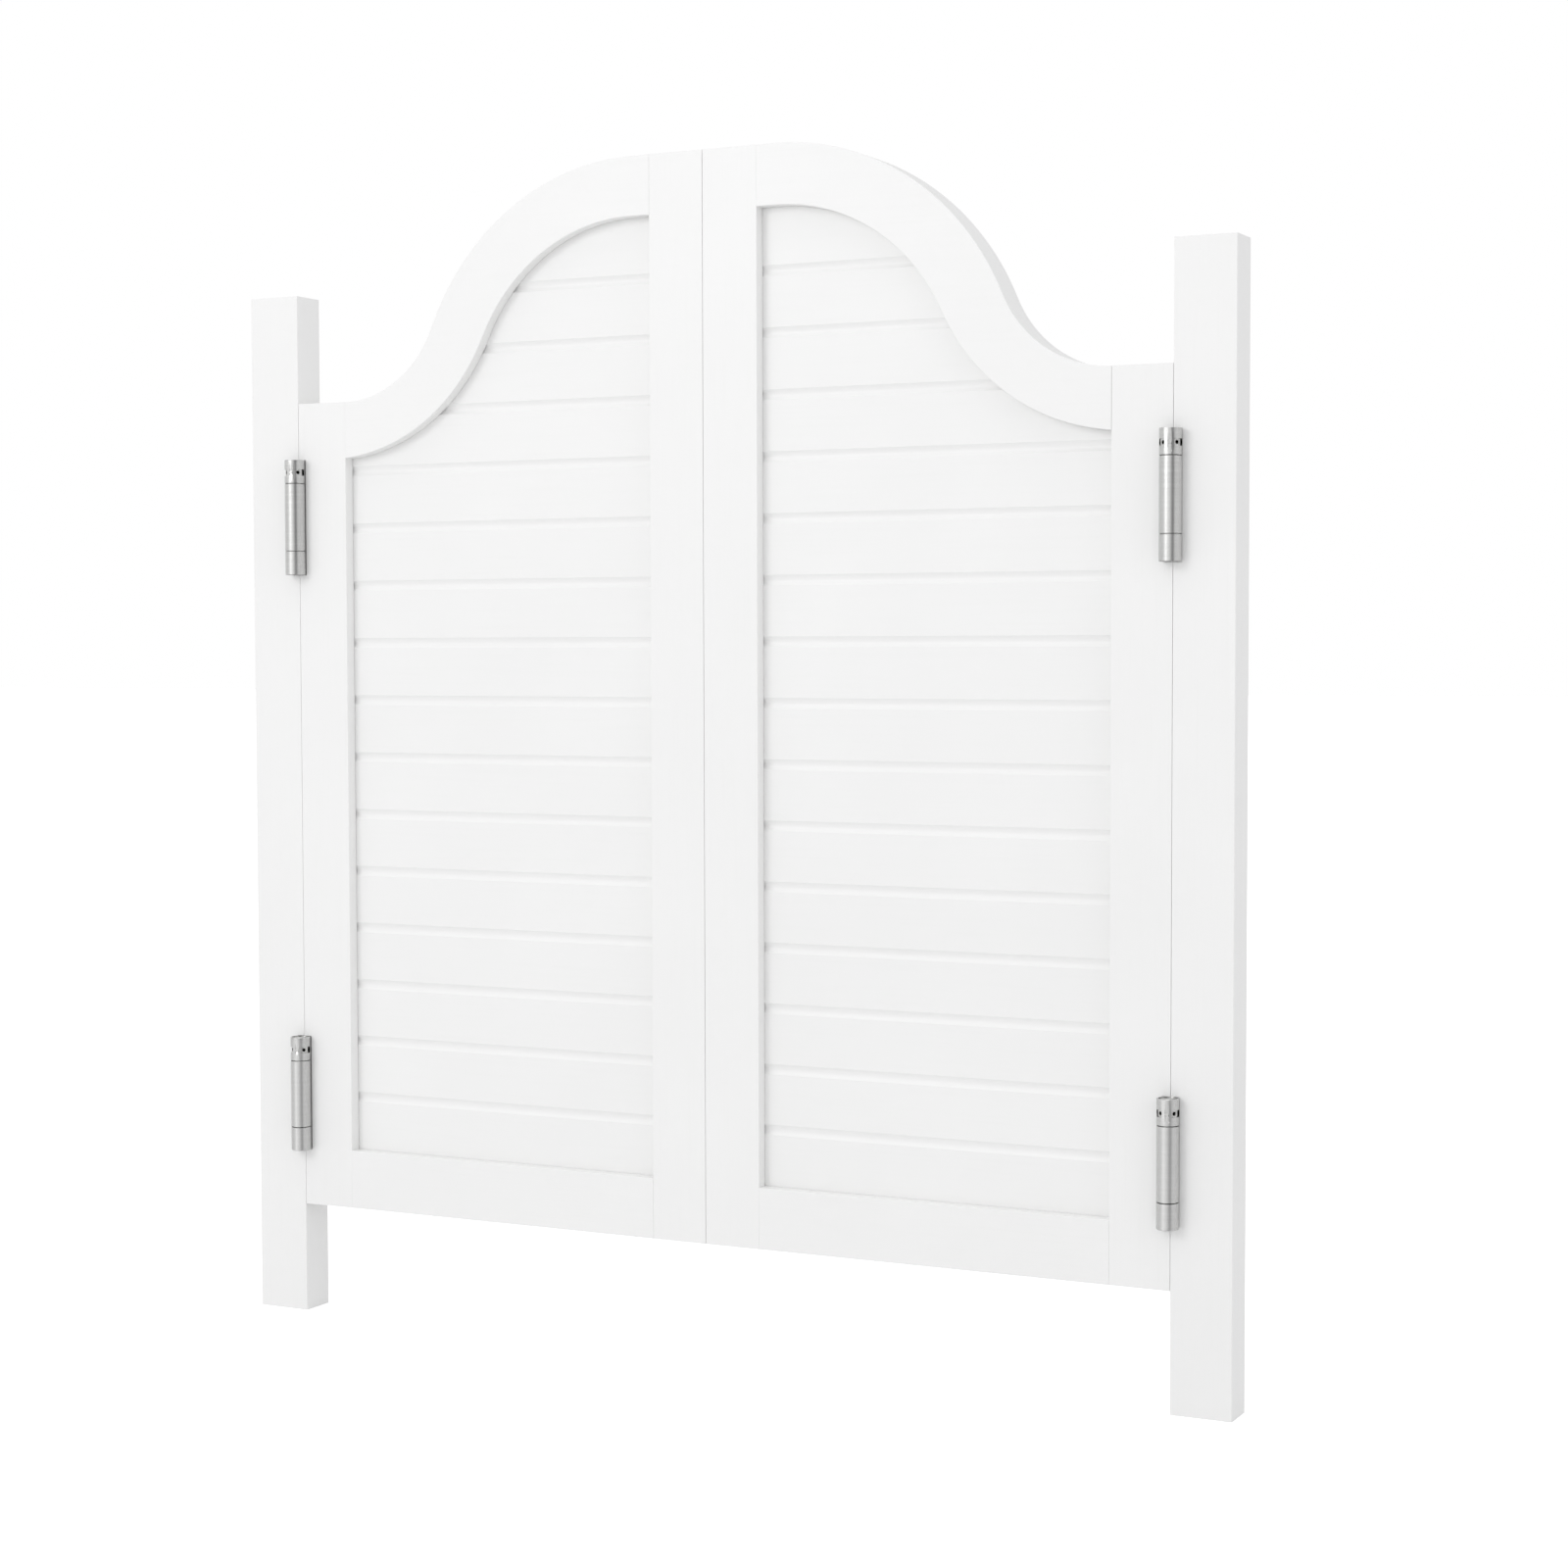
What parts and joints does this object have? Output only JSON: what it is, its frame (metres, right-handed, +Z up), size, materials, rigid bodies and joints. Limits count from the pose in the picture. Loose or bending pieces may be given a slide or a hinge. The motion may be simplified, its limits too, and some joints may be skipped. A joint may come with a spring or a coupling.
{
  "type": "cafe swinging doors",
  "caption": "Pair of half-height swinging doors with curved top rails and coved boards, on double-action spring hinges between two posts.",
  "frame": {"origin": "on the floor between the feet of the two posts, at mid-depth of the frame", "axes": "+X across the doorway towards the right post seen from the front, +Y from front to back, +Z up"},
  "size_m": [0.915, 0.0634, 1.0055],
  "materials": {
    "white_painted_wood": "white satin paint on wood",
    "brushed_stainless": "satin brushed stainless steel",
    "turned_stainless": "bright turned stainless steel",
    "spring_steel": "oil-tempered spring steel",
    "plain_beech": "unfinished beech"
  },
  "bodies": {
    "root": {"left_post": "white_painted_wood", "right_post": "white_painted_wood", "jamb_hinge_leaves": "brushed_stainless", "jamb_leaf_screws": "turned_stainless", "jamb_barrel_pins": "turned_stainless", "jamb_tension_collars": "brushed_stainless"},
    "left_link": {"left_centre_plates": "brushed_stainless", "left_hinge_springs": "spring_steel"},
    "right_link": {"right_centre_plates": "brushed_stainless", "right_hinge_springs": "spring_steel"},
    "left_leaf": {"left_hinge_stile": "white_painted_wood", "left_lock_stile": "white_painted_wood", "left_top_rail": "white_painted_wood", "left_bottom_rail": "white_painted_wood", "left_board_01": "white_painted_wood", "left_board_02": "white_painted_wood", "left_board_03": "white_painted_wood", "left_board_04": "white_painted_wood", "left_board_05": "white_painted_wood", "left_board_06": "white_painted_wood", "left_board_07": "white_painted_wood", "left_board_08": "white_painted_wood", "left_board_09": "white_painted_wood", "left_board_10": "white_painted_wood", "left_board_11": "white_painted_wood", "left_board_12": "white_painted_wood", "left_board_13": "white_painted_wood", "left_board_14": "white_painted_wood", "left_board_15": "white_painted_wood", "left_board_16": "white_painted_wood", "left_door_hinge_leaves": "brushed_stainless", "left_door_leaf_screws": "turned_stainless", "left_door_barrel_pins": "turned_stainless", "left_door_tension_collars": "brushed_stainless", "left_frame_dowels": "plain_beech"},
    "right_leaf": {"right_hinge_stile": "white_painted_wood", "right_lock_stile": "white_painted_wood", "right_top_rail": "white_painted_wood", "right_bottom_rail": "white_painted_wood", "right_board_01": "white_painted_wood", "right_board_02": "white_painted_wood", "right_board_03": "white_painted_wood", "right_board_04": "white_painted_wood", "right_board_05": "white_painted_wood", "right_board_06": "white_painted_wood", "right_board_07": "white_painted_wood", "right_board_08": "white_painted_wood", "right_board_09": "white_painted_wood", "right_board_10": "white_painted_wood", "right_board_11": "white_painted_wood", "right_board_12": "white_painted_wood", "right_board_13": "white_painted_wood", "right_board_14": "white_painted_wood", "right_board_15": "white_painted_wood", "right_board_16": "white_painted_wood", "right_door_hinge_leaves": "brushed_stainless", "right_door_leaf_screws": "turned_stainless", "right_door_barrel_pins": "turned_stainless", "right_door_tension_collars": "brushed_stainless", "right_frame_dowels": "plain_beech"}
  },
  "joints": [
    {"name": "left_front_swing", "type": "hinge", "parent": "root", "child": "left_link", "pos_m": [-0.40735, -0.0228, 0.456], "axis": [0, 0, -1], "range_deg": [0, 90], "stiffness_Nm_per_rad": 1.5, "springref_deg": -22.92},
    {"name": "left_back_swing", "type": "hinge", "parent": "left_link", "child": "left_leaf", "pos_m": [-0.40735, 0.0228, 0.456], "axis": [0, 0, 1], "range_deg": [0, 90], "stiffness_Nm_per_rad": 1.5, "springref_deg": -22.92},
    {"name": "right_back_swing", "type": "hinge", "parent": "root", "child": "right_link", "pos_m": [0.40735, 0.0228, 0.456], "axis": [0, 0, -1], "range_deg": [0, 90], "stiffness_Nm_per_rad": 1.5, "springref_deg": -22.92},
    {"name": "right_front_swing", "type": "hinge", "parent": "right_link", "child": "right_leaf", "pos_m": [0.40735, -0.0228, 0.456], "axis": [0, 0, 1], "range_deg": [0, 90], "stiffness_Nm_per_rad": 1.5, "springref_deg": -22.92}
  ]
}
